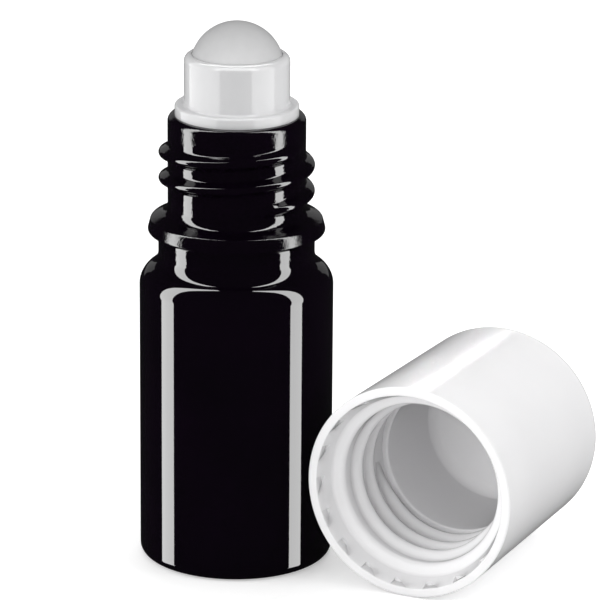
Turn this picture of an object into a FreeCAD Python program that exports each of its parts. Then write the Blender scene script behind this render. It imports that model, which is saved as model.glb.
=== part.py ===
import FreeCAD, Part
import os
import Sketcher

# Roll-on bottle in millimetres, standing on z = 0 with its axis on +Z, and its cap lying beside it.
# Every size is a cell of the sheet "dim", and each sub-part takes its sizes from there by expressions.

SIZES = {
    # Glass bottle: stacked upwards from the base
    "body_radius": 11.0,
    "body_height": 33.55,
    "heel_rounding": 1.1,
    "shoulder_rise": 1.45,
    "shoulder_rounding": 2.4,
    "shoulder_root_rounding": 1.8,
    "collar_radius": 8.86,
    "collar_length": 3.35,
    "collar_rounding": 0.45,
    "bead_overhang": 1.29,
    "bead_taper": 0.42,
    "bead_thickness": 1.6,
    "bead_rise": 0.85,
    "bead_rounding": 0.38,
    "neck_root_rounding": 1.3,
    "neck_radius": 7.8,
    "neck_length": 11.2,
    "lip_rounding": 0.75,
    # Glass bottle: the hollow
    "wall_thickness": 2.0,
    "floor_thickness": 2.6,
    "floor_rounding": 2.0,
    "inner_shoulder_drop": 0.95,
    "inner_shoulder_length": 4.0,
    "neck_wall": 2.2,
    "bore_edge_rounding": 0.4,
    # Roller fitment: plug in the neck, flange on the lip, housing round the ball
    "plug_length": 8.0,
    "plug_gap": 0.15,
    "plug_wall": 1.0,
    "plug_lead_length": 1.2,
    "plug_lead_taper": 0.4,
    "seal_ring_count": 2,
    "seal_ring_start": 2.4,
    "seal_ring_squeeze": 0.05,
    "seal_ring_height": 0.8,
    "seal_ring_spacing": 2.2,
    "flange_overhang": 1.04,
    "flange_thickness": 1.2,
    "flange_rounding": 0.25,
    "housing_wall": 0.6,
    "housing_grip": 1.62,
    "housing_rounding": 0.8,
    "housing_root_rounding": 0.3,
    "seat_width": 1.25,
    "seat_thickness": 1.2,
    "feed_slot_count": 4,
    "feed_slot_width": 0.9,
    "feed_slot_depth": 0.5,
    "feed_slot_length": 1.0,
    # Roller ball
    "ball_radius": 5.3,
    "ball_clearance": 0.06,
    "ball_height": 4.12,
    # Screw cap: depths are measured from the mouth
    "cap_radius": 12.3,
    "cap_length": 28.0,
    "cap_taper": 0.34,
    "cap_end_rounding": 1.6,
    "cap_mouth_rounding": 0.2,
    "cap_rim_width": 1.0,
    "cap_cone_depth": 2.6,
    "cap_cone_taper": 0.75,
    "cap_step_depth": 3.3,
    "cap_thread_wall": 2.95,
    "cap_ledge_depth": 13.9,
    "cap_ledge_rounding": 0.25,
    "cap_bore_wall": 3.6,
    "cap_bore_rounding": 1.2,
    "cap_top_thickness": 1.4,
    "notch_count": 18,
    "notch_length": 2.0,
    "notch_width": 0.4,
    "notch_floor_depth": 1.3,
    # Where the cap lies
    "cap_gap": 0.6,
    "cap_mouth_ahead": 5.3,
}

FULL_TURN = 360
QUARTER_TURN = 90
X_AXIS = FreeCAD.Vector(1, 0, 0)
Z_AXIS = FreeCAD.Vector(0, 0, 1)
EDGE_TOLERANCE = 1e-4

document = FreeCAD.newDocument("roll_on_bottle")
sheet = document.addObject("Spreadsheet::Sheet", "dim")
for row, (alias, number) in enumerate(SIZES.items(), start=1):
    sheet.set(f"A{row}", alias)
    sheet.set(f"B{row}", str(number))
    sheet.setAlias(f"B{row}", alias)
document.recompute()


# Heights and radii that follow from the sizes

SHOULDER_TOP = "(dim.body_height + dim.shoulder_rise)"
BEAD_BOTTOM = f"({SHOULDER_TOP} + dim.collar_length)"
BEAD_TOP = f"({BEAD_BOTTOM} + dim.bead_thickness)"
NECK_BOTTOM = f"({BEAD_TOP} + dim.bead_rise)"
LIP_HEIGHT = f"({NECK_BOTTOM} + dim.neck_length)"
BEAD_RADIUS = "(dim.collar_radius + dim.bead_overhang)"
NECK_BORE = "(dim.neck_radius - dim.neck_wall)"
INNER_RADIUS = "(dim.body_radius - dim.wall_thickness)"
INNER_SHOULDER = "(dim.body_height - dim.inner_shoulder_drop)"

# The fitment's heights are measured from the foot of its plug
PLUG_RADIUS = f"({NECK_BORE} - dim.plug_gap)"
PLUG_INNER_RADIUS = f"({PLUG_RADIUS} - dim.plug_wall)"
SEAL_RADIUS = f"({NECK_BORE} + dim.seal_ring_squeeze)"
FLANGE_TOP = "(dim.plug_length + dim.flange_thickness)"
BALL_CENTRE = f"({FLANGE_TOP} + dim.ball_height)"
CUP_RADIUS = "(dim.ball_radius + dim.ball_clearance)"
HOUSING_RADIUS = f"({CUP_RADIUS} + dim.housing_wall)"
HOUSING_TOP = f"({BALL_CENTRE} + dim.housing_grip)"
FLANGE_RADIUS = f"({HOUSING_RADIUS} + dim.flange_overhang)"
FEED_HOLE_RADIUS = f"({PLUG_INNER_RADIUS} - dim.seat_width)"
SEAT_EDGE = f"({BALL_CENTRE} - sqrt({CUP_RADIUS} ^ 2 - {FEED_HOLE_RADIUS} ^ 2))"
PLUG_CEILING = f"({SEAT_EDGE} - dim.seat_thickness)"
FITMENT_FOOT = f"({LIP_HEIGHT} - dim.plug_length)"

CAP_END_RADIUS = "(dim.cap_radius - dim.cap_taper)"
CAP_LEAD_RADIUS = "(dim.cap_radius - dim.cap_rim_width)"
CAP_CONE_RADIUS = f"({CAP_LEAD_RADIUS} - dim.cap_cone_taper)"
CAP_THREAD_RADIUS = "(dim.cap_radius - dim.cap_thread_wall)"
CAP_BORE_RADIUS = "(dim.cap_radius - dim.cap_bore_wall)"
CAP_CEILING = "(dim.cap_length - dim.cap_top_thickness)"
CAP_LEAN = "atan(dim.cap_taper / dim.cap_length)"


# Helpers for sketches and features

def size(expression):
    """Number that an expression of sheet sizes gives."""
    result = sheet.evalExpression(expression)
    return float(getattr(result, "Value", result))


def new_body(label):
    """Empty body whose label is the sub-part's name."""
    body = document.addObject("PartDesign::Body", label)
    body.Label = label
    return body


def new_sketch(body, name, plane):
    """Sketch on one of the body's own origin planes."""
    sketch = body.newObject("Sketcher::SketchObject", name)
    support = [item for item in body.Origin.OriginFeatures if item.Role == plane]
    sketch.AttachmentSupport = [(support[0], "")]
    sketch.MapMode = "FlatFace"
    return sketch


def fix_point(sketch, line, across, up):
    """Hold the first point of a line at two expressions, measured from the sketch's origin."""
    for kind, expression, axis in (("DistanceX", across, -2), ("DistanceY", up, -1)):
        number = size(expression)
        if number == 0:
            sketch.addConstraint(Sketcher.Constraint("PointOnObject", line, 1, axis))
            continue
        index = sketch.addConstraint(Sketcher.Constraint(kind, -1, 1, line, 1, number))
        sketch.setExpression(f"Constraints[{index}]", expression)


def outline(sketch, corners):
    """Closed outline of straight lines through corners that are given as pairs of expressions."""
    points = [FreeCAD.Vector(size(across), size(up), 0) for across, up in corners]
    count = len(points)
    for line in range(count):
        sketch.addGeometry(Part.LineSegment(points[line], points[(line + 1) % count]))
    for line in range(count):
        sketch.addConstraint(Sketcher.Constraint("Coincident", line, 2, (line + 1) % count, 1))
    for line, (across, up) in enumerate(corners):
        fix_point(sketch, line, across, up)


def turned(body, name, corners):
    """Solid of revolution from a section of radius and height corners."""
    sketch = new_sketch(body, f"{name}_section", "XZ_Plane")
    outline(sketch, corners)
    feature = body.newObject("PartDesign::Revolution", name)
    feature.Profile = sketch
    feature.ReferenceAxis = (sketch, ["V_Axis"])
    feature.Angle = FULL_TURN
    document.recompute()


def ring_edge(shape, radius, height):
    """Name of the circular edge with this radius and height on the body's axis."""
    for number, edge in enumerate(shape.Edges, start=1):
        curve = edge.Curve
        if not isinstance(curve, Part.Circle):
            continue
        if abs(curve.Radius - radius) < EDGE_TOLERANCE and abs(curve.Center.z - height) < EDGE_TOLERANCE:
            return f"Edge{number}"
    raise ValueError(f"no edge of radius {radius} at height {height}")


def rounded(body, name, radius, rings):
    """Fillet on ring edges that are given as pairs of radius and height expressions."""
    base = body.Tip
    edges = [ring_edge(base.Shape, size(across), size(up)) for across, up in rings]
    fillet = body.newObject("PartDesign::Fillet", name)
    fillet.Base = (base, edges)
    fillet.setExpression("Radius", radius)
    document.recompute()


def pocket_up(body, name, sketch, length):
    """Cut that runs upwards from the sketch's plane."""
    before = body.Shape.Volume
    pocket = body.newObject("PartDesign::Pocket", name)
    pocket.Profile = sketch
    pocket.Reversed = True
    pocket.setExpression("Length", length)
    document.recompute()
    if body.Shape.Volume >= before:
        raise ValueError(f"{name} cuts nothing")
    return pocket


def repeated(body, name, original, sketch, count):
    """Even polar pattern of a feature round the body's axis."""
    pattern = body.newObject("PartDesign::PolarPattern", name)
    pattern.Originals = [original]
    pattern.Axis = (sketch, ["N_Axis"])
    pattern.Angle = FULL_TURN
    pattern.setExpression("Occurrences", count)
    body.Tip = pattern
    document.recompute()


# Glass bottle

def glass_bottle():
    """Black glass bottle with its shoulder, bead, neck and hollow."""
    body = new_body("glass_bottle")
    bead_upper_radius = f"({BEAD_RADIUS} - dim.bead_taper)"
    inner_shoulder_top = f"({INNER_SHOULDER} + dim.inner_shoulder_length)"
    turned(body, "glass", [
        ("0", "0"),
        ("dim.body_radius", "0"),
        ("dim.body_radius", "dim.body_height"),
        ("dim.collar_radius", SHOULDER_TOP),
        ("dim.collar_radius", BEAD_BOTTOM),
        (BEAD_RADIUS, BEAD_BOTTOM),
        (bead_upper_radius, BEAD_TOP),
        ("dim.neck_radius", NECK_BOTTOM),
        ("dim.neck_radius", LIP_HEIGHT),
        (NECK_BORE, LIP_HEIGHT),
        (NECK_BORE, inner_shoulder_top),
        (INNER_RADIUS, INNER_SHOULDER),
        (INNER_RADIUS, "dim.floor_thickness"),
        ("0", "dim.floor_thickness"),
    ])
    rounded(body, "heel", "dim.heel_rounding", [("dim.body_radius", "0")])
    rounded(body, "shoulder", "dim.shoulder_rounding", [("dim.body_radius", "dim.body_height")])
    rounded(body, "shoulder_root", "dim.shoulder_root_rounding", [("dim.collar_radius", SHOULDER_TOP)])
    rounded(body, "collar", "dim.collar_rounding", [("dim.collar_radius", BEAD_BOTTOM)])
    rounded(body, "bead", "dim.bead_rounding", [
        (BEAD_RADIUS, BEAD_BOTTOM),
        (bead_upper_radius, BEAD_TOP),
    ])
    rounded(body, "neck_root", "dim.neck_root_rounding", [("dim.neck_radius", NECK_BOTTOM)])
    rounded(body, "lip", "dim.lip_rounding", [("dim.neck_radius", LIP_HEIGHT)])
    rounded(body, "bore_edge", "dim.bore_edge_rounding", [(NECK_BORE, LIP_HEIGHT)])
    rounded(body, "hollow", "dim.floor_rounding", [
        (INNER_RADIUS, "dim.floor_thickness"),
        (INNER_RADIUS, INNER_SHOULDER),
        (NECK_BORE, inner_shoulder_top),
    ])
    return body


# Roller fitment

def seal_rings():
    """Corners of the sealing rings, from the lowest one upwards."""
    corners = []
    for ring in range(int(size("dim.seal_ring_count"))):
        foot = f"(dim.seal_ring_start + {ring} * dim.seal_ring_spacing)"
        corners.append((PLUG_RADIUS, foot))
        corners.append((SEAL_RADIUS, f"({foot} + dim.seal_ring_height / 2)"))
        corners.append((PLUG_RADIUS, f"({foot} + dim.seal_ring_height)"))
    return corners


def feed_slots(body):
    """Slots across the ball's seat that let liquid reach the ball from the feed hole."""
    sketch = new_sketch(body, "feed_slot_outline", "XY_Plane")
    sketch.setExpression("AttachmentOffset.Base.z", f"{SEAT_EDGE} - dim.feed_slot_depth")
    half_width = "dim.feed_slot_width / 2"
    reach = f"({FEED_HOLE_RADIUS} + dim.feed_slot_length)"
    outline(sketch, [
        ("0", f"-{half_width}"),
        (reach, f"-{half_width}"),
        (reach, half_width),
        ("0", half_width),
    ])
    slot = pocket_up(body, "feed_slot", sketch, "dim.ball_height")
    repeated(body, "feed_slots", slot, sketch, "dim.feed_slot_count")


def roller_fitment():
    """White moulding with a plug, a flange and a housing whose cup snaps over the ball."""
    body = new_body("roller_fitment")
    turned(body, "moulding", [
        (PLUG_INNER_RADIUS, "0"),
        (f"({PLUG_RADIUS} - dim.plug_lead_taper)", "0"),
        (PLUG_RADIUS, "dim.plug_lead_length"),
        *seal_rings(),
        (PLUG_RADIUS, "dim.plug_length"),
        (FLANGE_RADIUS, "dim.plug_length"),
        (FLANGE_RADIUS, FLANGE_TOP),
        (HOUSING_RADIUS, FLANGE_TOP),
        (HOUSING_RADIUS, HOUSING_TOP),
        ("0", HOUSING_TOP),
        ("0", PLUG_CEILING),
        (PLUG_INNER_RADIUS, PLUG_CEILING),
    ])
    rounded(body, "flange", "dim.flange_rounding", [(FLANGE_RADIUS, FLANGE_TOP)])
    rounded(body, "housing_root", "dim.housing_root_rounding", [(HOUSING_RADIUS, FLANGE_TOP)])
    rounded(body, "housing", "dim.housing_rounding", [(HOUSING_RADIUS, HOUSING_TOP)])
    cup = body.newObject("PartDesign::SubtractiveSphere", "cup")
    cup.setExpression("Radius", CUP_RADIUS)
    cup.setExpression("Placement.Base.z", BALL_CENTRE)
    document.recompute()
    feed_slots(body)
    sketch = new_sketch(body, "feed_hole_outline", "XY_Plane")
    sketch.addGeometry(Part.Circle(FreeCAD.Vector(), Z_AXIS, size(FEED_HOLE_RADIUS)))
    sketch.addConstraint(Sketcher.Constraint("Coincident", 0, 3, -1, 1))
    radius = sketch.addConstraint(Sketcher.Constraint("Radius", 0, size(FEED_HOLE_RADIUS)))
    sketch.setExpression(f"Constraints[{radius}]", FEED_HOLE_RADIUS)
    pocket_up(body, "feed_hole", sketch, BALL_CENTRE)
    body.setExpression("Placement.Base.z", FITMENT_FOOT)
    return body


# Roller ball

def roller_ball():
    """Loose ball that the fitment's cup holds."""
    ball = document.addObject("Part::Sphere", "roller_ball")
    ball.Label = "roller_ball"
    ball.setExpression("Radius", "dim.ball_radius")
    ball.setExpression("Placement.Base.z", f"{FITMENT_FOOT} + {BALL_CENTRE}")
    return ball


# Screw cap

def mould_notches(body):
    """Ring of wedge-shaped notches where the lead-in cone meets the rim."""
    sketch = new_sketch(body, "notch_outline", "XY_Plane")
    outline(sketch, [
        (f"{CAP_LEAD_RADIUS} - dim.notch_width", "0"),
        (CAP_LEAD_RADIUS, "0"),
        (f"{CAP_LEAD_RADIUS} - dim.notch_width / 2", "-dim.notch_length"),
    ])
    notch = pocket_up(body, "notch", sketch, "dim.notch_floor_depth")
    repeated(body, "notches", notch, sketch, "dim.notch_count")


def screw_cap():
    """White cap, turned on its side so that its wall lies on the floor and its mouth faces -Y."""
    body = new_body("screw_cap")
    turned(body, "shell", [
        (CAP_LEAD_RADIUS, "0"),
        ("dim.cap_radius", "0"),
        (CAP_END_RADIUS, "dim.cap_length"),
        ("0", "dim.cap_length"),
        ("0", CAP_CEILING),
        (CAP_BORE_RADIUS, CAP_CEILING),
        (CAP_BORE_RADIUS, "dim.cap_ledge_depth"),
        (CAP_THREAD_RADIUS, "dim.cap_ledge_depth"),
        (CAP_THREAD_RADIUS, "dim.cap_step_depth"),
        (CAP_CONE_RADIUS, "dim.cap_cone_depth"),
    ])
    rounded(body, "end", "dim.cap_end_rounding", [(CAP_END_RADIUS, "dim.cap_length")])
    rounded(body, "rim", "dim.cap_mouth_rounding", [("dim.cap_radius", "0")])
    rounded(body, "ledge", "dim.cap_ledge_rounding", [(CAP_BORE_RADIUS, "dim.cap_ledge_depth")])
    rounded(body, "bore", "dim.cap_bore_rounding", [(CAP_BORE_RADIUS, CAP_CEILING)])
    mould_notches(body)
    body.Placement.Rotation = FreeCAD.Rotation(X_AXIS, -QUARTER_TURN - size(CAP_LEAN))
    body.setExpression("Placement.Base.x", "dim.body_radius + dim.cap_gap + dim.cap_radius")
    body.setExpression("Placement.Base.y", "-dim.cap_mouth_ahead")
    body.setExpression("Placement.Base.z", f"dim.cap_radius * cos({CAP_LEAN})")
    return body


# Build, check and write the sub-parts

nodes = [glass_bottle(), roller_fitment(), roller_ball(), screw_cap()]
document.recompute()
for item in document.Objects:
    if "Invalid" in item.State or "Error" in item.State:
        raise RuntimeError(f"{item.Label} failed: {item.State}")
os.makedirs("parts", exist_ok=True)
for node in nodes:
    shape = node.Shape
    if shape.isNull() or not shape.isValid() or len(shape.Solids) != 1:
        raise RuntimeError(f"{node.Label} is not one valid solid")
    shape.exportStep(f"parts/{node.Label}.step")
    print(node.Label, round(shape.Volume, 2), "mm3", shape.BoundBox)
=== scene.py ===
"""Roll-on bottle of black glass with a white roller fitment, a satin ball and its white screw cap.

Sizes in the classes are millimetres; a mesh becomes metres when its piece is published.
"""

import logging
import math
from dataclasses import dataclass, field
from enum import Enum
from typing import Mapping, Optional, Sequence, Union

import bmesh
import bpy
from mathutils import Euler, Matrix, Vector


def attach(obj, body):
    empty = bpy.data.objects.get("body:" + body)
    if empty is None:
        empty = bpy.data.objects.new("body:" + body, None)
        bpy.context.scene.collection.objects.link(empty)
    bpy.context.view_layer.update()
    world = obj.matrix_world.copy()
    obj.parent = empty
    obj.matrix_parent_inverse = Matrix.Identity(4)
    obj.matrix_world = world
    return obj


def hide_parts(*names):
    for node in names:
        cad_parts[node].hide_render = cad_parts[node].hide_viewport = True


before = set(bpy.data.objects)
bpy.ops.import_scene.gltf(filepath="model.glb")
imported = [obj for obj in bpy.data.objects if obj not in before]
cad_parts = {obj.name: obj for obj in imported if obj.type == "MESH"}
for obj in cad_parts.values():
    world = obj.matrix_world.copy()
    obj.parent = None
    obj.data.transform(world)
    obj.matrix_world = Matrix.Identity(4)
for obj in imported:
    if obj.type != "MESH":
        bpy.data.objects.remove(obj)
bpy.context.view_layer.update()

LOG = logging.getLogger("roll_on_bottle")
MM = 0.001
FULL_TURN = 2 * math.pi
QUARTER_TURN = math.pi / 2
UP = Vector((0, 0, 1))
WELD_DISTANCE = 5e-4
ARC_STEP = math.radians(7)
SHARP_ANGLE = math.radians(36)
FEWEST_SEGMENTS = 2
ROUND_PROFILE = 0.5
SAME_MATERIAL = -1
FLOOR_LABEL = "studio_floor"

Colour = tuple[float, float, float, float]


class Body(Enum):
    """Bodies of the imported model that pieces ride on."""

    BOTTLE = "bottle"
    BALL = "ball"
    CAP = "cap"


class Solid(Enum):
    """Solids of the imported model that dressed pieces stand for."""

    BOTTLE = "glass_bottle"
    FITMENT = "roller_fitment"
    BALL = "roller_ball"
    CAP = "screw_cap"


class Piece(Enum):
    """Dressed pieces that this script makes."""

    GLASS = "glass_shell"
    NECK_THREAD = "neck_thread"
    FITMENT = "fitment_moulding"
    BALL = "satin_ball"
    CAP = "cap_shell"
    CAP_THREAD = "cap_thread"


class Slot(Enum):
    """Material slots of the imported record."""

    GLASS = "black_glass"
    FITMENT = "fitment_plastic"
    BALL = "ball_plastic"
    CAP = "cap_plastic"


# Shader maths

class Level:
    """Number on a node socket; arithmetic with it adds Math nodes."""

    def __init__(self, network: "Network", socket: bpy.types.NodeSocket) -> None:
        """Keep the network and the socket that gives the number."""
        self.network = network
        self.socket = socket

    def __add__(self, other: "Number") -> "Level":
        """Sum of two numbers."""
        return self.network.math("ADD", self, other)

    def __mul__(self, other: "Number") -> "Level":
        """Product of two numbers."""
        return self.network.math("MULTIPLY", self, other)

    def __sub__(self, other: "Number") -> "Level":
        """This number less another one."""
        return self.network.math("SUBTRACT", self, other)

    def __rsub__(self, other: "Number") -> "Level":
        """Another number less this one."""
        return self.network.math("SUBTRACT", other, self)

    __radd__ = __add__
    __rmul__ = __mul__


Number = Union[Level, float]


class Network:
    """Node tree of one material or world, built from nothing."""

    MIX_FACTOR = 0
    MIX_FIRST = 6
    MIX_SECOND = 7
    MIX_RESULT = 2

    def __init__(self, owner: Union[bpy.types.Material, bpy.types.World]) -> None:
        """Empty the owner's node tree.

        Args:
            owner: Material or world that gets the nodes.
        """
        owner.use_nodes = True
        self.tree = owner.node_tree
        self.tree.nodes.clear()

    def node(self, kind: str, settings: Mapping[str, object],
             sockets: Mapping[Union[str, int], object]) -> bpy.types.Node:
        """Add a node.

        Args:
            kind: Type of the node.
            settings: Attributes of the node, set before its sockets.
            sockets: Values or links of the input sockets, by name or number.

        Returns:
            The new node.
        """
        node = self.tree.nodes.new(kind)
        for name, value in settings.items():
            setattr(node, name, value)
        for key, value in sockets.items():
            source = value.socket if isinstance(value, Level) else value
            if isinstance(source, bpy.types.NodeSocket):
                self.tree.links.new(source, node.inputs[key])
            else:
                node.inputs[key].default_value = source
        return node

    def math(self, operation: str, first: Number, second: Number) -> Level:
        """Result of a Math node on two numbers."""
        result = self.node("ShaderNodeMath", {"operation": operation}, {0: first, 1: second})
        return Level(self, result.outputs[0])

    def blend(self, factor: Number, first: Colour, second: Colour) -> bpy.types.NodeSocket:
        """Colour between two colours."""
        sockets = {self.MIX_FACTOR: factor, self.MIX_FIRST: first, self.MIX_SECOND: second}
        return self.node("ShaderNodeMix", {"data_type": "RGBA"}, sockets).outputs[self.MIX_RESULT]

    def noise(self, size: float, stretch: Vector, detail: float) -> Level:
        """Soft noise on the object's own coordinates.

        Args:
            size: Width of a blotch in millimetres.
            stretch: How much longer a blotch is along each axis.
            detail: Number of finer layers.

        Returns:
            A number that drifts about one half.
        """
        place = self.node("ShaderNodeTexCoord", {}, {}).outputs["Object"]
        scale = [1 / (size * MM * length) for length in stretch]
        mapped = self.node("ShaderNodeMapping", {}, {"Vector": place, "Scale": scale}).outputs["Vector"]
        texture = self.node("ShaderNodeTexNoise", {}, {"Vector": mapped, "Scale": 1.0, "Detail": detail})
        return Level(self, texture.outputs[0])

    def share_above(self, low: float, high: float) -> Level:
        """Share from 0 to 1 as the surface rises between two heights.

        Args:
            low: Height in millimetres where the share starts.
            high: Height in millimetres where the share is full.

        Returns:
            The share, held at both ends.
        """
        place = self.node("ShaderNodeTexCoord", {}, {}).outputs["Object"]
        height = self.node("ShaderNodeSeparateXYZ", {}, {"Vector": place}).outputs["Z"]
        limits = {"Value": height, "From Min": low * MM, "From Max": high * MM}
        return Level(self, self.node("ShaderNodeMapRange", {}, limits).outputs["Result"])

    def output(self, kind: str, shader: bpy.types.NodeSocket) -> None:
        """Send a shader to the tree's output node."""
        self.node(kind, {}, {"Surface": shader})


# Finishes

@dataclass(frozen=True)
class Relief:
    """Noise layer that raises a surface a little.

    Attributes:
        size: Width of a swelling in millimetres.
        depth: Height of a swelling in millimetres.
        stretch: How much longer a swelling is along each axis.
        band: Heights in millimetres between which the layer works, or none for everywhere.
    """

    size: float
    depth: float
    stretch: tuple[float, float, float] = (1.0, 1.0, 1.0)
    band: Optional[tuple[float, float]] = None


@dataclass(frozen=True)
class Finish:
    """Smooth moulded surface whose colour, gloss and relief drift a little.

    Attributes:
        label: Name of the material.
        colour: Main colour.
        drift_colour: Colour that blotches drift to.
        drift_size: Width of a colour blotch in millimetres.
        roughness: Least roughness.
        haze: Roughness that hazy blotches add.
        haze_size: Width of a hazy blotch in millimetres.
        reliefs: Layers that raise the surface.
        reflection: Strength of the reflection, where one half is plain plastic or glass.
        depth_light: Share of the light that enters and scatters under the surface.
        scatter: Distance in millimetres that the scattered light travels.
    """

    label: str
    colour: Colour
    drift_colour: Colour
    drift_size: float
    roughness: float
    haze: float
    haze_size: float
    reliefs: tuple[Relief, ...]
    reflection: float = 0.5
    depth_light: float = 0.0
    scatter: float = 1.0

    DETAIL = 3.0
    EVEN = (1.0, 1.0, 1.0)
    FADE = 0.5

    def material(self) -> bpy.types.Material:
        """Make the material of this finish.

        Returns:
            A node material.
        """
        material = bpy.data.materials.new(self.label)
        network = Network(material)
        drift = network.noise(self.drift_size, self.EVEN, self.DETAIL)
        haze = network.noise(self.haze_size, self.EVEN, self.DETAIL)
        shader = network.node("ShaderNodeBsdfPrincipled", {}, {
            "Base Color": network.blend(drift, self.colour, self.drift_colour),
            "Roughness": haze * self.haze + self.roughness,
            "Specular IOR Level": self.reflection,
            "Subsurface Weight": self.depth_light,
            "Subsurface Radius": self.EVEN,
            "Subsurface Scale": self.scatter * MM,
            "Normal": self.surface_normal(network),
        })
        network.output("ShaderNodeOutputMaterial", shader.outputs["BSDF"])
        return material

    def surface_normal(self, network: Network) -> bpy.types.NodeSocket:
        """Raise the surface by the relief layers.

        Args:
            network: Node tree of the material.

        Returns:
            Socket of the bumped normal.
        """
        height: Number = 0.0
        for relief in self.reliefs:
            swelling = network.noise(relief.size, relief.stretch, self.DETAIL) * (relief.depth * MM)
            if relief.band is not None:
                low, high = relief.band
                swelling = swelling * network.share_above(low, low + self.FADE)
                swelling = swelling * (1 - network.share_above(high - self.FADE, high))
            height = swelling + height
        bump = network.node("ShaderNodeBump", {}, {"Strength": 1.0, "Distance": 1.0, "Height": height})
        return bump.outputs["Normal"]


BLACK_GLASS = Finish(
    label="black_glass",
    colour=(0.0016, 0.0009, 0.0022, 1.0),
    drift_colour=(0.0036, 0.0012, 0.0048, 1.0),
    drift_size=9.0,
    roughness=0.02,
    haze=0.03,
    haze_size=3.0,
    reliefs=(
        Relief(size=7.0, depth=0.010, stretch=(1.0, 1.0, 2.5)),
        Relief(size=1.6, depth=0.0006),
        Relief(size=0.7, depth=0.014, band=(36.0, 53.0)),
        Relief(size=0.22, depth=0.020, band=(38.1, 40.5)),
        Relief(size=0.22, depth=0.014, band=(49.5, 53.0)),
    ),
    reflection=1.0,
)
FITMENT_PLASTIC = Finish(
    label="fitment_plastic",
    colour=(0.76, 0.76, 0.765, 1.0),
    drift_colour=(0.71, 0.71, 0.72, 1.0),
    drift_size=2.5,
    roughness=0.06,
    haze=0.05,
    haze_size=1.2,
    reliefs=(Relief(size=2.2, depth=0.003), Relief(size=0.5, depth=0.0004)),
    depth_light=0.25,
    scatter=0.8,
)
BALL_PLASTIC = Finish(
    label="ball_plastic",
    colour=(0.79, 0.79, 0.795, 1.0),
    drift_colour=(0.71, 0.71, 0.715, 1.0),
    drift_size=1.4,
    roughness=0.40,
    haze=0.16,
    haze_size=0.5,
    reliefs=(Relief(size=0.16, depth=0.0007), Relief(size=0.9, depth=0.0015)),
    depth_light=0.2,
    scatter=0.7,
)
CAP_PLASTIC = Finish(
    label="cap_plastic",
    colour=(0.93, 0.925, 0.935, 1.0),
    drift_colour=(0.90, 0.895, 0.905, 1.0),
    drift_size=5.0,
    roughness=0.10,
    haze=0.08,
    haze_size=2.0,
    reliefs=(Relief(size=5.0, depth=0.006, stretch=(1.0, 2.5, 1.0)), Relief(size=0.8, depth=0.0005)),
    depth_light=0.4,
    scatter=2.5,
)


# Modelling with turned sections

@dataclass(frozen=True)
class Corner:
    """Corner of a turned section, with the radius of its rounding."""

    radius: float
    height: float
    rounding: float = 0.0

    def point(self) -> Vector:
        """Place of the corner in the XZ plane."""
        return Vector((self.radius, 0, self.height))


def draw_section(mesh: bmesh.types.BMesh, corners: Sequence[Corner],
                 closed: bool) -> list[bmesh.types.BMVert]:
    """Draw a chain of corners as wire and round the corners that ask for it.

    Args:
        mesh: Mesh that takes the wire.
        corners: Corners in order.
        closed: Whether the last corner joins the first one.

    Returns:
        One vertex a corner; those of rounded corners are used up by the rounding.
    """
    verts = [mesh.verts.new(corner.point()) for corner in corners]
    pairs = list(zip(verts, verts[1:] + verts[:1]))
    for pair in pairs if closed else pairs[:-1]:
        mesh.edges.new(pair)
    following = [*corners[1:], corners[0]]
    for index, corner in enumerate(corners):
        if corner.rounding:
            before = corner.point() - corners[index - 1].point()
            after = following[index].point() - corner.point()
            turn = before.angle(after)
            bmesh.ops.bevel(
                mesh, geom=[verts[index]], offset=corner.rounding * math.tan(turn / 2), offset_type="OFFSET",
                segments=max(FEWEST_SEGMENTS, math.ceil(turn / ARC_STEP)), profile=ROUND_PROFILE,
                affect="VERTICES", material=SAME_MATERIAL,
            )
    return verts


def spin_section(mesh: bmesh.types.BMesh, steps: int) -> None:
    """Spin all wire of a mesh once round the Z axis and close it.

    Args:
        mesh: Mesh whose wire is spun.
        steps: Number of faces round the axis.
    """
    bmesh.ops.spin(
        mesh, geom=[*mesh.verts, *mesh.edges], cent=(0, 0, 0), axis=UP, dvec=(0, 0, 0), angle=FULL_TURN,
        steps=steps, use_merge=True, use_normal_flip=False, use_duplicate=False,
    )
    bmesh.ops.remove_doubles(mesh, verts=mesh.verts, dist=WELD_DISTANCE)
    bmesh.ops.recalc_face_normals(mesh, faces=mesh.faces)


def smooth_step(share: float) -> float:
    """Ease a share from 0 to 1, held at both ends."""
    held = min(max(share, 0.0), 1.0)
    return held * held * (3 - 2 * held)


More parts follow.
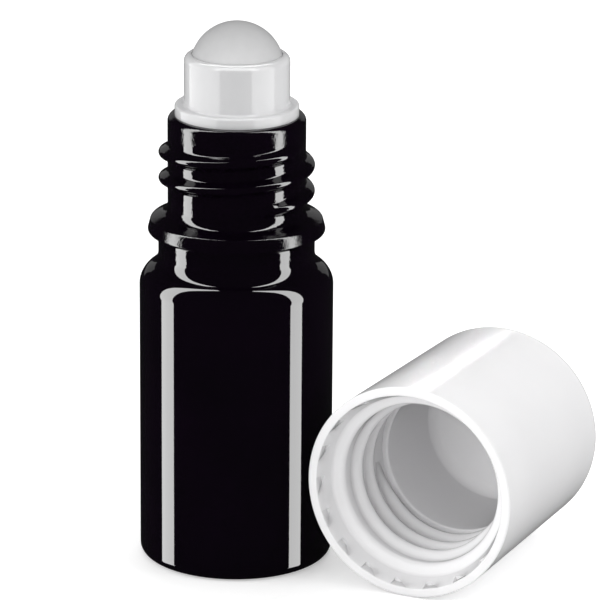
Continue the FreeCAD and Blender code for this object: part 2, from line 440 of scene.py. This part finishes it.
@dataclass(frozen=True)
class Ridge:
    """Right-hand thread ridge that stands on a round wall.

    Attributes:
        wall: Radius of the wall.
        crest: Radius of the crest, inside the wall for a nut thread.
        foot_width: Width where the ridge meets the wall.
        crest_width: Width of the crest before its rounding.
        crest_rounding: Rounding of the crest's edges.
        foot_rounding: Rounding from the flank to the wall.
        pitch: Climb of a turn.
        turns: Number of turns.
        start_height: Height of the ridge's middle at its start.
        start_angle: Angle of the start about the axis, in degrees.
        fade: Turns over which each end sinks into the wall.
    """

    wall: float
    crest: float
    foot_width: float
    crest_width: float
    crest_rounding: float
    foot_rounding: float
    pitch: float
    turns: float
    start_height: float
    start_angle: float
    fade: float

    STEPS_A_TURN = 160
    SKIRT = 0.35
    SKIN = 0.02
    SUNK = 0.3
    LEAST = 0.15

    def section(self) -> list[Corner]:
        """Closed section that stands on the wall and reaches a little into it.

        Returns:
            Corners of the section about height zero.
        """
        outward = math.copysign(1, self.crest - self.wall)
        half_foot = self.foot_width / 2
        half_crest = self.crest_width / 2
        edge = half_foot + self.SKIRT
        skin = self.wall - outward * self.SKIN
        sunk = self.wall - outward * self.SUNK
        return [
            Corner(sunk, -edge),
            Corner(skin, -edge),
            Corner(self.wall, -half_foot, self.foot_rounding),
            Corner(self.crest, -half_crest, self.crest_rounding),
            Corner(self.crest, half_crest, self.crest_rounding),
            Corner(self.wall, half_foot, self.foot_rounding),
            Corner(skin, edge),
            Corner(sunk, edge),
        ]

    def mesh(self) -> bmesh.types.BMesh:
        """Wind the section into a closed ridge whose ends sink into the wall.

        Returns:
            Mesh of the ridge, in millimetres.
        """
        mesh = bmesh.new()
        section_height = mesh.verts.layers.float.new("section_height")
        draw_section(mesh, self.section(), closed=True)
        for vert in mesh.verts:
            vert[section_height] = vert.co.z
        steps = round(self.turns * self.STEPS_A_TURN)
        bmesh.ops.spin(
            mesh, geom=[*mesh.verts, *mesh.edges], cent=(0, 0, 0), axis=UP,
            dvec=UP * (self.pitch * self.turns / steps), angle=FULL_TURN * self.turns, steps=steps,
            use_merge=False, use_normal_flip=False, use_duplicate=False,
        )
        sunk = self.section()[0].radius
        for vert in mesh.verts:
            done = (vert.co.z - vert[section_height]) / self.pitch
            rise = smooth_step(done / self.fade) * smooth_step((self.turns - done) / self.fade)
            radius = math.hypot(vert.co.x, vert.co.y)
            share = (sunk + (radius - sunk) * (self.LEAST + (1 - self.LEAST) * rise)) / radius
            vert.co = Vector((vert.co.x * share, vert.co.y * share, vert.co.z))
        bmesh.ops.holes_fill(mesh, edges=[edge for edge in mesh.edges if edge.is_boundary], sides=0)
        bmesh.ops.recalc_face_normals(mesh, faces=mesh.faces)
        turn = Matrix.Rotation(math.radians(self.start_angle), 4, UP)
        bmesh.ops.transform(mesh, matrix=Matrix.Translation(UP * self.start_height) @ turn, verts=mesh.verts)
        return mesh


def cut_away(mesh: bmesh.types.BMesh, cutter: bmesh.types.BMesh) -> bmesh.types.BMesh:
    """Cut one closed mesh out of another one.

    Args:
        mesh: Mesh that is cut; it is used up.
        cutter: Mesh that is taken away; it is used up.

    Returns:
        Mesh that is left.
    """
    stock = []
    for name, part in (("stock", mesh), ("cutter", cutter)):
        data = bpy.data.meshes.new(name)
        part.to_mesh(data)
        part.free()
        stock.append(bpy.data.objects.new(name, data))
        bpy.context.scene.collection.objects.link(stock[-1])
    blank, tool = stock
    cut = blank.modifiers.new("cut", "BOOLEAN")
    cut.operation = "DIFFERENCE"
    cut.solver = "EXACT"
    cut.object = tool
    evaluated = blank.evaluated_get(bpy.context.evaluated_depsgraph_get())
    result = bmesh.new()
    result.from_mesh(evaluated.to_mesh())
    evaluated.to_mesh_clear()
    for item in stock:
        bpy.data.meshes.remove(item.data)
    bmesh.ops.remove_doubles(result, verts=result.verts, dist=WELD_DISTANCE)
    bmesh.ops.dissolve_degenerate(result, dist=WELD_DISTANCE, edges=result.edges)
    return result


def publish(mesh: bmesh.types.BMesh, piece: Piece, finish: Finish, body: Body,
            place: Matrix = Matrix()) -> bpy.types.Object:
    """Turn a mesh in millimetres into a piece of the object.

    Args:
        mesh: Mesh of the piece; it is used up.
        piece: Name of the piece.
        finish: Finish of its surface.
        body: Body that it rides on.
        place: Place of the piece in the model's frame.

    Returns:
        Object of the piece.
    """
    bmesh.ops.transform(mesh, matrix=Matrix.Scale(MM, 4) @ place, verts=mesh.verts)
    data = bpy.data.meshes.new(piece.value)
    mesh.to_mesh(data)
    mesh.free()
    data.shade_smooth()
    data.set_sharp_from_angle(angle=SHARP_ANGLE)
    data.materials.append(finish.material())
    dressed = bpy.data.objects.new(piece.value, data)
    bpy.context.scene.collection.objects.link(dressed)
    normals = dressed.modifiers.new("even_normals", "WEIGHTED_NORMAL")
    normals.keep_sharp = True
    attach(dressed, body.value)
    LOG.info("%s: %d faces on %s", piece.value, len(data.polygons), body.value)
    return dressed


# Glass bottle

@dataclass
class GlassBottle:
    """Black glass bottle: body, shoulder, collar, bead, threaded neck and hollow."""

    body_radius: float = 11.0
    body_height: float = 33.55
    heel_rounding: float = 1.1
    shoulder_top: float = 35.0
    shoulder_rounding: float = 2.4
    shoulder_root_rounding: float = 1.8
    collar_radius: float = 8.86
    collar_rounding: float = 0.45
    bead_bottom: float = 38.35
    bead_top: float = 39.95
    bead_radius: float = 10.15
    bead_upper_radius: float = 9.73
    bead_rounding: float = 0.38
    neck_bottom: float = 40.8
    neck_root_rounding: float = 1.3
    neck_radius: float = 7.8
    lip_height: float = 52.0
    lip_rounding: float = 0.75
    bore_radius: float = 5.6
    bore_edge_rounding: float = 0.4
    inner_radius: float = 9.0
    inner_shoulder_bottom: float = 32.6
    inner_shoulder_top: float = 36.6
    floor_height: float = 2.6
    floor_rounding: float = 2.0
    steps: int = 200
    thread: Ridge = Ridge(
        wall=7.8, crest=8.82, foot_width=1.75, crest_width=0.55, crest_rounding=0.45, foot_rounding=0.45,
        pitch=3.0, turns=2.22, start_height=42.4, start_angle=-60.0, fade=0.13,
    )

    def section(self) -> list[Corner]:
        """Corners from the middle of the base, over the lip, to the middle of the inner floor.

        Returns:
            Corners of an open chain that starts and ends on the axis.
        """
        return [
            Corner(0, 0),
            Corner(self.body_radius, 0, self.heel_rounding),
            Corner(self.body_radius, self.body_height, self.shoulder_rounding),
            Corner(self.collar_radius, self.shoulder_top, self.shoulder_root_rounding),
            Corner(self.collar_radius, self.bead_bottom, self.collar_rounding),
            Corner(self.bead_radius, self.bead_bottom, self.bead_rounding),
            Corner(self.bead_upper_radius, self.bead_top, self.bead_rounding),
            Corner(self.neck_radius, self.neck_bottom, self.neck_root_rounding),
            Corner(self.neck_radius, self.lip_height, self.lip_rounding),
            Corner(self.bore_radius, self.lip_height, self.bore_edge_rounding),
            Corner(self.bore_radius, self.inner_shoulder_top, self.floor_rounding),
            Corner(self.inner_radius, self.inner_shoulder_bottom, self.floor_rounding),
            Corner(self.inner_radius, self.floor_height, self.floor_rounding),
            Corner(0, self.floor_height),
        ]

    def build(self) -> None:
        """Make the glass and its thread."""
        mesh = bmesh.new()
        draw_section(mesh, self.section(), closed=False)
        spin_section(mesh, self.steps)
        glass = publish(mesh, Piece.GLASS, BLACK_GLASS, Body.BOTTLE)
        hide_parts(Solid.BOTTLE.value)
        publish(self.thread.mesh(), Piece.NECK_THREAD, BLACK_GLASS, Body.BOTTLE)


# Roller fitment

@dataclass
class RollerFitment:
    """White moulding: plug with sealing rings, flange on the lip and housing whose cup holds the ball."""

    foot_height: float = 44.0
    plug_inner_radius: float = 4.45
    plug_radius: float = 5.45
    plug_lead_radius: float = 5.05
    plug_lead_height: float = 45.2
    seal_radius: float = 5.65
    seal_feet: tuple[float, ...] = (46.4, 48.6)
    seal_height: float = 0.8
    lip_height: float = 52.0
    flange_radius: float = 7.0
    flange_top: float = 53.2
    flange_rounding: float = 0.25
    housing_radius: float = 5.96
    housing_top: float = 58.94
    housing_rounding: float = 0.8
    housing_root_rounding: float = 0.3
    plug_ceiling: float = 51.82
    feed_hole_radius: float = 3.2
    cup_radius: float = 5.36
    ball_height: float = 57.32
    slot_width: float = 0.9
    slot_length: float = 8.4
    slot_floor: float = 52.52
    slot_count: int = 4
    steps: int = 160
    cup_steps: int = 24

    def cup_height(self, radius: float, side: int) -> float:
        """Height of the cup's ball-shaped wall at a radius, above or below the ball's middle."""
        return self.ball_height + side * math.sqrt(self.cup_radius ** 2 - radius ** 2)

    def section(self) -> list[Corner]:
        """Corners from the cup's mouth down the outside, and up through the plug to the ball's seat.

        Returns:
            Corners of an open chain that the cup's arc closes.
        """
        grip = self.housing_top - self.ball_height
        mouth_radius = math.sqrt(self.cup_radius ** 2 - grip ** 2)
        rings = []
        for foot in reversed(self.seal_feet):
            rings.append(Corner(self.plug_radius, foot + self.seal_height))
            rings.append(Corner(self.seal_radius, foot + self.seal_height / 2))
            rings.append(Corner(self.plug_radius, foot))
        return [
            Corner(mouth_radius, self.housing_top),
            Corner(self.housing_radius, self.housing_top, self.housing_rounding),
            Corner(self.housing_radius, self.flange_top, self.housing_root_rounding),
            Corner(self.flange_radius, self.flange_top, self.flange_rounding),
            Corner(self.flange_radius, self.lip_height),
            Corner(self.plug_radius, self.lip_height),
            *rings,
            Corner(self.plug_radius, self.plug_lead_height),
            Corner(self.plug_lead_radius, self.foot_height),
            Corner(self.plug_inner_radius, self.foot_height),
            Corner(self.plug_inner_radius, self.plug_ceiling),
            Corner(self.feed_hole_radius, self.plug_ceiling),
            Corner(self.feed_hole_radius, self.cup_height(self.feed_hole_radius, -1)),
        ]

    def moulding(self) -> bmesh.types.BMesh:
        """Spin the section with the cup's arc.

        Returns:
            Closed mesh without the feed slots.
        """
        mesh = bmesh.new()
        corners = self.section()
        seat = draw_section(mesh, corners, closed=False)[-1]
        middle = Vector((0, 0, self.ball_height))
        sweep = (corners[-1].point() - middle).angle(corners[0].point() - middle)
        bmesh.ops.spin(
            mesh, geom=[seat], cent=middle, axis=(0, -1, 0), dvec=(0, 0, 0), angle=sweep,
            steps=self.cup_steps, use_merge=False, use_normal_flip=False, use_duplicate=False,
        )
        bmesh.ops.remove_doubles(mesh, verts=mesh.verts, dist=WELD_DISTANCE)
        spin_section(mesh, self.steps)
        return mesh

    def slots(self) -> bmesh.types.BMesh:
        """Bars that cut the feed slots across the ball's seat.

        Returns:
            Mesh of the crossing bars.
        """
        mesh = bmesh.new()
        for bar in range(self.slot_count // 2):
            turn = Matrix.Rotation(bar * FULL_TURN / self.slot_count, 4, UP)
            depth = self.ball_height - self.slot_floor
            shape = Matrix.Diagonal((self.slot_length, self.slot_width, depth, 1))
            lift = Matrix.Translation(UP * (self.ball_height + self.slot_floor) / 2)
            bmesh.ops.create_cube(mesh, size=1, matrix=lift @ turn @ shape)
        return mesh

    def build(self) -> None:
        """Make the fitment."""
        mesh = cut_away(self.moulding(), self.slots())
        moulding = publish(mesh, Piece.FITMENT, FITMENT_PLASTIC, Body.BOTTLE)
        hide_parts(Solid.FITMENT.value)


# Roller ball

@dataclass
class RollerBall:
    """Satin ball that turns in the fitment's cup."""

    radius: float = 5.3
    height: float = 57.32
    subdivisions: int = 6

    def build(self) -> None:
        """Make the ball."""
        mesh = bmesh.new()
        bmesh.ops.create_icosphere(
            mesh, subdivisions=self.subdivisions, radius=self.radius,
            matrix=Matrix.Translation(UP * self.height),
        )
        ball = publish(mesh, Piece.BALL, BALL_PLASTIC, Body.BALL)
        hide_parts(Solid.BALL.value)


# Screw cap

@dataclass
class ScrewCap:
    """White cap on its side: tapered shell, lead-in cone with notches, thread and smooth bore.

    Heights are measured from the mouth to the closed end, along the cap's own axis.
    """

    radius: float = 12.3
    end_radius: float = 11.96
    length: float = 28.0
    end_rounding: float = 1.6
    mouth_rounding: float = 0.2
    lead_radius: float = 11.3
    lead_rounding: float = 0.12
    cone_radius: float = 10.55
    cone_depth: float = 2.6
    cone_rounding: float = 0.6
    thread_radius: float = 9.35
    step_depth: float = 3.3
    step_rounding: float = 0.8
    ledge_depth: float = 13.9
    ledge_rounding: float = 0.25
    bore_radius: float = 8.7
    bore_rounding: float = 1.2
    ceiling: float = 26.6
    notch_count: int = 18
    notch_length: float = 2.0
    notch_width: float = 0.4
    notch_floor: float = 1.3
    steps: int = 216
    mouth: Vector = field(default_factory=lambda: Vector((23.9, -5.3, 12.29909)))
    thread: Ridge = Ridge(
        wall=9.35, crest=8.5, foot_width=2.4, crest_width=0.8, crest_rounding=0.9, foot_rounding=0.8,
        pitch=3.0, turns=2.5, start_height=5.0, start_angle=0.0, fade=0.12,
    )

    def section(self) -> list[Corner]:
        """Corners from the middle of the closed end, over the rim, to the middle of the inner ceiling.

        Returns:
            Corners of an open chain that starts and ends on the axis.
        """
        return [
            Corner(0, self.length),
            Corner(self.end_radius, self.length, self.end_rounding),
            Corner(self.radius, 0, self.mouth_rounding),
            Corner(self.lead_radius, 0, self.lead_rounding),
            Corner(self.cone_radius, self.cone_depth, self.cone_rounding),
            Corner(self.thread_radius, self.step_depth, self.step_rounding),
            Corner(self.thread_radius, self.ledge_depth),
            Corner(self.bore_radius, self.ledge_depth, self.ledge_rounding),
            Corner(self.bore_radius, self.ceiling, self.bore_rounding),
            Corner(0, self.ceiling),
        ]

    def notches(self) -> bmesh.types.BMesh:
        """Ring of wedges that cut the notches beside the rim.

        Returns:
            Mesh of the wedges.
        """
        mesh = bmesh.new()
        corners = (
            (self.lead_radius - self.notch_width, 0, 0),
            (self.lead_radius, 0, 0),
            (self.lead_radius - self.notch_width / 2, -self.notch_length, 0),
        )
        wedge = mesh.faces.new([mesh.verts.new(corner) for corner in corners])
        lifted = bmesh.ops.extrude_face_region(mesh, geom=[wedge], use_keep_orig=True)["geom"]
        top = [item for item in lifted if isinstance(item, bmesh.types.BMVert)]
        bottom = [vert for vert in mesh.verts if vert not in top]
        bmesh.ops.translate(mesh, vec=UP * self.notch_floor, verts=top)
        bmesh.ops.translate(mesh, vec=UP * -self.mouth_rounding, verts=bottom)
        others = self.notch_count - 1
        bmesh.ops.spin(
            mesh, geom=[*mesh.verts, *mesh.edges, *mesh.faces], cent=(0, 0, 0), axis=UP, dvec=(0, 0, 0),
            angle=FULL_TURN * others / self.notch_count, steps=others,
            use_merge=False, use_normal_flip=False, use_duplicate=True,
        )
        bmesh.ops.recalc_face_normals(mesh, faces=mesh.faces)
        return mesh

    def place(self) -> Matrix:
        """Lay the cap on its tapered wall with its mouth to the front."""
        lean = math.atan((self.radius - self.end_radius) / self.length)
        return Matrix.Translation(self.mouth) @ Matrix.Rotation(-QUARTER_TURN - lean, 4, "X")

    def build(self) -> None:
        """Make the cap and its thread."""
        mesh = bmesh.new()
        draw_section(mesh, self.section(), closed=False)
        spin_section(mesh, self.steps)
        notched = cut_away(mesh, self.notches())
        shell = publish(notched, Piece.CAP, CAP_PLASTIC, Body.CAP, self.place())
        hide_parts(Solid.CAP.value)
        thread = publish(self.thread.mesh(), Piece.CAP_THREAD, CAP_PLASTIC, Body.CAP, self.place())
        for dressed in (shell, thread):
            dressed.visible_glossy = False


# Studio

class Reach(Enum):
    """What a lamp does.

    A lamp shines on surfaces, is mirrored in glossy ones, or is mirrored only where no piece screens it.
    """

    SHINES = "shines"
    MIRRORED = "mirrored"
    SCREENED = "screened"


@dataclass(frozen=True)
class Panel:
    """Flat soft light that faces the object.

    Attributes:
        label: Name of the light.
        reach: What the light does.
        bearing: Angle to the right of the camera's direction, in degrees.
        distance: Distance from the object's axis, along the floor.
        width: Width in millimetres.
        low: Height of its lower edge.
        high: Height of its upper edge.
        brightness: Brightness of its face, where a white card in plain light has 1.
        receivers: Names of what the light works on.
    """

    label: str
    reach: Reach
    bearing: float
    distance: float
    width: float
    low: float
    high: float
    brightness: float
    receivers: tuple[str, ...]


GLASS_PIECES = (Piece.GLASS.value, Piece.NECK_THREAD.value)
FITMENT_PIECES = (Piece.FITMENT.value,)
BALL_PIECES = (Piece.BALL.value,)
CAP_PIECES = (Piece.CAP.value, Piece.CAP_THREAD.value)
BOTTLE_AND_FLOOR = (*GLASS_PIECES, *FITMENT_PIECES, FLOOR_LABEL)
ALL_BUT_BALL = (*BOTTLE_AND_FLOOR, *CAP_PIECES)


@dataclass
class Studio:
    """White floor, soft fill, side panels, strip lights for the gloss, and the camera."""

    camera_place: Vector = field(default_factory=lambda: Vector((212.66, -438.96, 183.9)))
    camera_pitch: float = 72.5
    camera_bearing: float = 25.0
    camera_roll: float = 0.4
    lens: float = 270.0
    sensor: float = 36.0
    floor_radius: float = 4000.0
    floor_drop: float = 0.02
    floor_segments: int = 64
    floor_colour: Colour = (0.95, 0.95, 0.95, 1.0)
    floor_lift: float = 0.4
    fill: float = 0.7
    edge_glow: float = 0.015
    panels: tuple[Panel, ...] = (
        Panel(
            label="left_strip", reach=Reach.MIRRORED, bearing=-88.5, distance=500.0, width=176.0,
            low=-250.0, high=2500.0, brightness=5.6, receivers=GLASS_PIECES,
        ),
        Panel(
            label="right_strip", reach=Reach.MIRRORED, bearing=76.0, distance=500.0, width=150.0,
            low=-250.0, high=2500.0, brightness=5.6, receivers=GLASS_PIECES,
        ),
        Panel(
            label="glass_backdrop", reach=Reach.MIRRORED, bearing=180.0, distance=1500.0, width=1800.0,
            low=20.0, high=600.0, brightness=0.22, receivers=GLASS_PIECES,
        ),
        Panel(
            label="fitment_left", reach=Reach.MIRRORED, bearing=-81.0, distance=500.0, width=960.0,
            low=-250.0, high=1500.0, brightness=2.6, receivers=FITMENT_PIECES,
        ),
        Panel(
            label="fitment_right", reach=Reach.MIRRORED, bearing=61.0, distance=500.0, width=530.0,
            low=-250.0, high=1500.0, brightness=2.6, receivers=FITMENT_PIECES,
        ),
        Panel(
            label="fitment_rim", reach=Reach.MIRRORED, bearing=180.0, distance=300.0, width=800.0,
            low=500.0, high=2600.0, brightness=9.0, receivers=FITMENT_PIECES,
        ),
        Panel(
            label="fitment_brow", reach=Reach.MIRRORED, bearing=0.0, distance=300.0, width=800.0,
            low=250.0, high=2600.0, brightness=5.5, receivers=FITMENT_PIECES,
        ),
        Panel(
            label="cap_strip", reach=Reach.SCREENED, bearing=174.0, distance=800.0, width=100.0,
            low=320.0, high=440.0, brightness=12.0, receivers=CAP_PIECES,
        ),
        Panel(
            label="cap_backdrop", reach=Reach.SCREENED, bearing=180.0, distance=1500.0, width=1800.0,
            low=20.0, high=600.0, brightness=0.75, receivers=CAP_PIECES,
        ),
        Panel(
            label="left_soft", reach=Reach.SHINES, bearing=-75.0, distance=900.0, width=700.0,
            low=0.0, high=1200.0, brightness=1.7, receivers=ALL_BUT_BALL,
        ),
        Panel(
            label="right_soft", reach=Reach.SHINES, bearing=80.0, distance=900.0, width=700.0,
            low=0.0, high=1200.0, brightness=2.0, receivers=BOTTLE_AND_FLOOR,
        ),
        Panel(
            label="back_soft", reach=Reach.SHINES, bearing=180.0, distance=1100.0, width=900.0,
            low=600.0, high=1800.0, brightness=2.1, receivers=ALL_BUT_BALL,
        ),
        Panel(
            label="ball_soft", reach=Reach.SHINES, bearing=0.0, distance=900.0, width=400.0,
            low=60.0, high=400.0, brightness=6.4, receivers=BALL_PIECES,
        ),
        Panel(
            label="cap_soft", reach=Reach.SHINES, bearing=-28.0, distance=700.0, width=500.0,
            low=60.0, high=560.0, brightness=2.8, receivers=CAP_PIECES,
        ),
        Panel(
            label="cap_top", reach=Reach.SHINES, bearing=120.0, distance=500.0, width=700.0,
            low=500.0, high=1300.0, brightness=1.2, receivers=CAP_PIECES,
        ),
        Panel(
            label="cap_side", reach=Reach.SHINES, bearing=92.0, distance=800.0, width=700.0,
            low=300.0, high=1300.0, brightness=2.0, receivers=CAP_PIECES,
        ),
    )

    def build(self) -> None:
        """Set up the floor, the lights and the camera."""
        bpy.context.scene.view_settings.view_transform = "Standard"
        self.make_floor()
        self.make_fill()
        for panel in self.panels:
            self.make_panel(panel)
        self.make_camera()

    def make_floor(self) -> None:
        """Lay a white floor that keeps the shadow and isn't mirrored in the glass."""
        mesh = bmesh.new()
        place = Matrix.Translation(UP * -self.floor_drop * MM)
        bmesh.ops.create_circle(
            mesh, cap_ends=True, segments=self.floor_segments, radius=self.floor_radius * MM, matrix=place,
        )
        data = bpy.data.meshes.new(FLOOR_LABEL)
        mesh.to_mesh(data)
        mesh.free()
        material = bpy.data.materials.new(FLOOR_LABEL)
        network = Network(material)
        path = network.node("ShaderNodeLightPath", {}, {})
        seen = Level(network, path.outputs["Is Camera Ray"]) + Level(network, path.outputs["Is Glossy Ray"])
        seen = seen + Level(network, path.outputs["Is Transmission Ray"])
        diffuse = network.node("ShaderNodeBsdfDiffuse", {}, {"Color": self.floor_colour})
        lift = network.node("ShaderNodeEmission", {}, {"Strength": seen * self.floor_lift})
        both = network.node("ShaderNodeAddShader", {}, {0: diffuse.outputs[0], 1: lift.outputs[0]})
        network.output("ShaderNodeOutputMaterial", both.outputs[0])
        data.materials.append(material)
        floor = bpy.data.objects.new(FLOOR_LABEL, data)
        bpy.context.scene.collection.objects.link(floor)
        floor.visible_glossy = False

    def make_fill(self) -> None:
        """Light everything softly from all round, with only a faint glow in mirroring edges."""
        world = bpy.data.worlds.new("studio_fill")
        bpy.context.scene.world = world
        network = Network(world)
        mirrored = Level(network, network.node("ShaderNodeLightPath", {}, {}).outputs["Is Glossy Ray"])
        strength = self.fill - mirrored * (self.fill - self.edge_glow)
        background = network.node("ShaderNodeBackground", {}, {"Strength": strength})
        network.output("ShaderNodeOutputWorld", background.outputs[0])

    def make_panel(self, panel: Panel) -> None:
        """Stand a panel on its bearing, turned to the object.

        Args:
            panel: Panel to make.
        """
        bearing = math.radians(self.camera_bearing + panel.bearing)
        outward = Vector((math.sin(bearing), -math.cos(bearing), 0))
        height = panel.high - panel.low
        light = bpy.data.lights.new(panel.label, "AREA")
        light.shape = "RECTANGLE"
        light.size = panel.width * MM
        light.size_y = height * MM
        light.energy = panel.brightness * math.pi * light.size * light.size_y
        lamp = bpy.data.objects.new(panel.label, light)
        bpy.context.scene.collection.objects.link(lamp)
        lamp.location = (outward * panel.distance + UP * (panel.low + height / 2)) * MM
        lamp.rotation_euler = (-outward).to_track_quat("-Z", "Y").to_euler()
        lamp.visible_camera = False
        lamp.visible_diffuse = panel.reach is Reach.SHINES
        lamp.visible_glossy = panel.reach is not Reach.SHINES
        light.cycles.use_multiple_importance_sampling = panel.reach is not Reach.SCREENED
        receivers = bpy.data.collections.new(f"{panel.label}_receivers")
        for name in panel.receivers:
            receivers.objects.link(bpy.data.objects[name])
        lamp.light_linking.receiver_collection = receivers

    def make_camera(self) -> None:
        """Set the camera where the picture was taken from."""
        data = bpy.data.cameras.new("picture_camera")
        data.sensor_fit = "HORIZONTAL"
        data.sensor_width = self.sensor
        data.lens = self.lens
        camera = bpy.data.objects.new("picture_camera", data)
        bpy.context.scene.collection.objects.link(camera)
        aim = Euler((math.radians(self.camera_pitch), 0, math.radians(self.camera_bearing)))
        roll = Matrix.Rotation(math.radians(self.camera_roll), 3, "Z")
        camera.location = self.camera_place * MM
        camera.rotation_euler = (aim.to_matrix() @ roll).to_euler()
        bpy.context.scene.camera = camera


def main() -> None:
    """Build the pieces and the studio."""
    logging.basicConfig(level=logging.INFO, format="%(message)s")
    for assembly in (GlassBottle(), RollerFitment(), RollerBall(), ScrewCap()):
        assembly.build()
    Studio().build()


if __name__ == "__main__":
    main()
